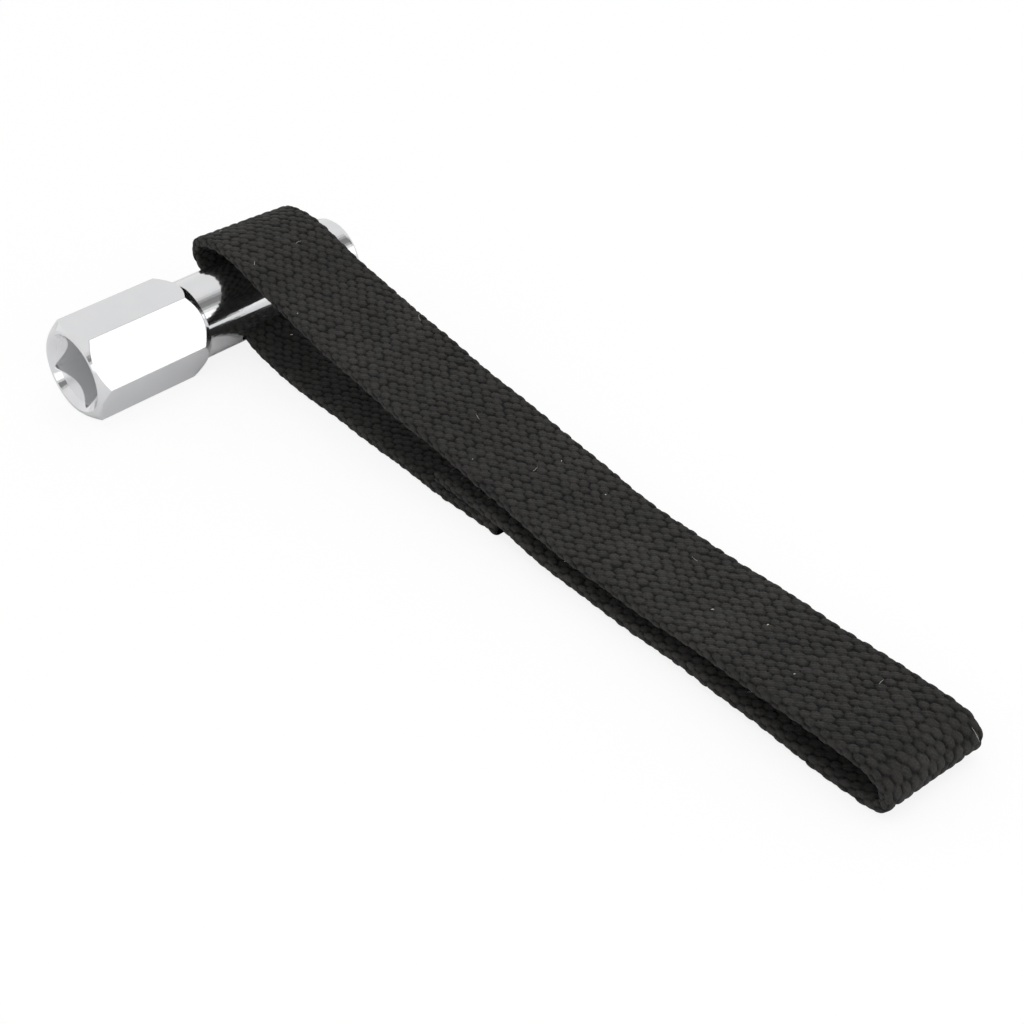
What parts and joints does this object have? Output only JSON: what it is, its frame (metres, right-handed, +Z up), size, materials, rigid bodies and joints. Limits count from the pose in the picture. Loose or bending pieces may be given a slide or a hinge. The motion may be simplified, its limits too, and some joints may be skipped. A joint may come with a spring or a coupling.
{
  "type": "strap wrench",
  "caption": "Strap wrench for oil filters: a chromed drive bar with a hexagon head and square socket, slotted to carry a sewn loop of flat black webbing.",
  "frame": {"origin": "on the table plane, below the middle of the bounding box", "axes": "+X along the loop from the drive bar to the far fold, +Y along the bar away from its socket's mouth, +Z up from the table"},
  "size_m": [0.2184, 0.077, 0.026],
  "materials": {
    "chrome": "polished",
    "webbing": "coarse woven",
    "thread": "twisted thread"
  },
  "bodies": {
    "bar": {"drive_bar": "chrome", "strap_in_slot": "webbing", "strap_lower_1": "webbing"},
    "near_fold_1": {"strap_near_fold_1": "webbing"},
    "upper_1": {"strap_upper_1": "webbing"},
    "upper_2": {"strap_upper_2": "webbing"},
    "upper_3": {"strap_upper_3": "webbing"},
    "far_fold_1": {"strap_far_fold_1": "webbing"},
    "return_1": {"strap_return_1": "webbing"},
    "lap": {"strap_lap_outer": "webbing", "strap_lap_inner": "webbing", "stitch_row_1": "thread", "stitch_row_2": "thread", "stitch_row_3": "thread", "stitch_row_4": "thread"},
    "beyond_lap_1": {"strap_beyond_lap_1": "webbing"}
  },
  "joints": [
    {"name": "loop_open", "type": "hinge", "parent": "bar", "child": "near_fold_1", "pos_m": [-0.10595, 0.01759, 0.01494], "axis": [-0.0872, -0.9962, 0], "range_deg": [0, 54.62]},
    {"name": "upper_1_bend", "type": "hinge", "parent": "near_fold_1", "child": "upper_1", "pos_m": [-0.07661, 0.01502, 0.01992], "axis": [-0.0872, -0.9962, 0], "range_deg": [-22.92, 0]},
    {"name": "upper_2_bend", "type": "hinge", "parent": "upper_1", "child": "upper_2", "pos_m": [-0.02527, 0.01053, 0.012], "axis": [-0.0872, -0.9962, 0], "range_deg": [-15.94, 0]},
    {"name": "upper_3_bend", "type": "hinge", "parent": "upper_2", "child": "upper_3", "pos_m": [0.02431, 0.00619, 0.00642], "axis": [-0.0872, -0.9962, 0], "range_deg": [-12.56, 0]},
    {"name": "far_fold_1_bend", "type": "hinge", "parent": "upper_3", "child": "far_fold_1", "pos_m": [0.07222, 0.002, 0.0069], "axis": [-0.0872, -0.9962, 0], "range_deg": [-22.23, 0]},
    {"name": "return_1_bend", "type": "hinge", "parent": "far_fold_1", "child": "return_1", "pos_m": [0.10808, -0.00114, 0.00484], "axis": [-0.0872, -0.9962, 0], "range_deg": [0, 58.29]},
    {"name": "lap_bend", "type": "hinge", "parent": "bar", "child": "lap", "pos_m": [-0.04776, 0.0125, 0.00275], "axis": [-0.0872, -0.9962, 0], "range_deg": [0, 6.57]},
    {"name": "beyond_lap_1_bend", "type": "hinge", "parent": "lap", "child": "beyond_lap_1", "pos_m": [0.02552, 0.00609, 0.00353], "axis": [-0.0872, -0.9962, 0], "range_deg": [0, 37.69]}
  ],
  "couplings": [
    {"joint": "upper_1_bend", "follows": "loop_open", "ratio": -0.40128},
    {"joint": "upper_2_bend", "follows": "loop_open", "ratio": -0.27356},
    {"joint": "upper_3_bend", "follows": "loop_open", "ratio": -0.21171},
    {"joint": "far_fold_1_bend", "follows": "loop_open", "ratio": -0.38876},
    {"joint": "return_1_bend", "follows": "loop_open", "ratio": 1.0489},
    {"joint": "lap_bend", "follows": "loop_open", "ratio": 0.1019},
    {"joint": "beyond_lap_1_bend", "follows": "loop_open", "ratio": 0.67171}
  ]
}
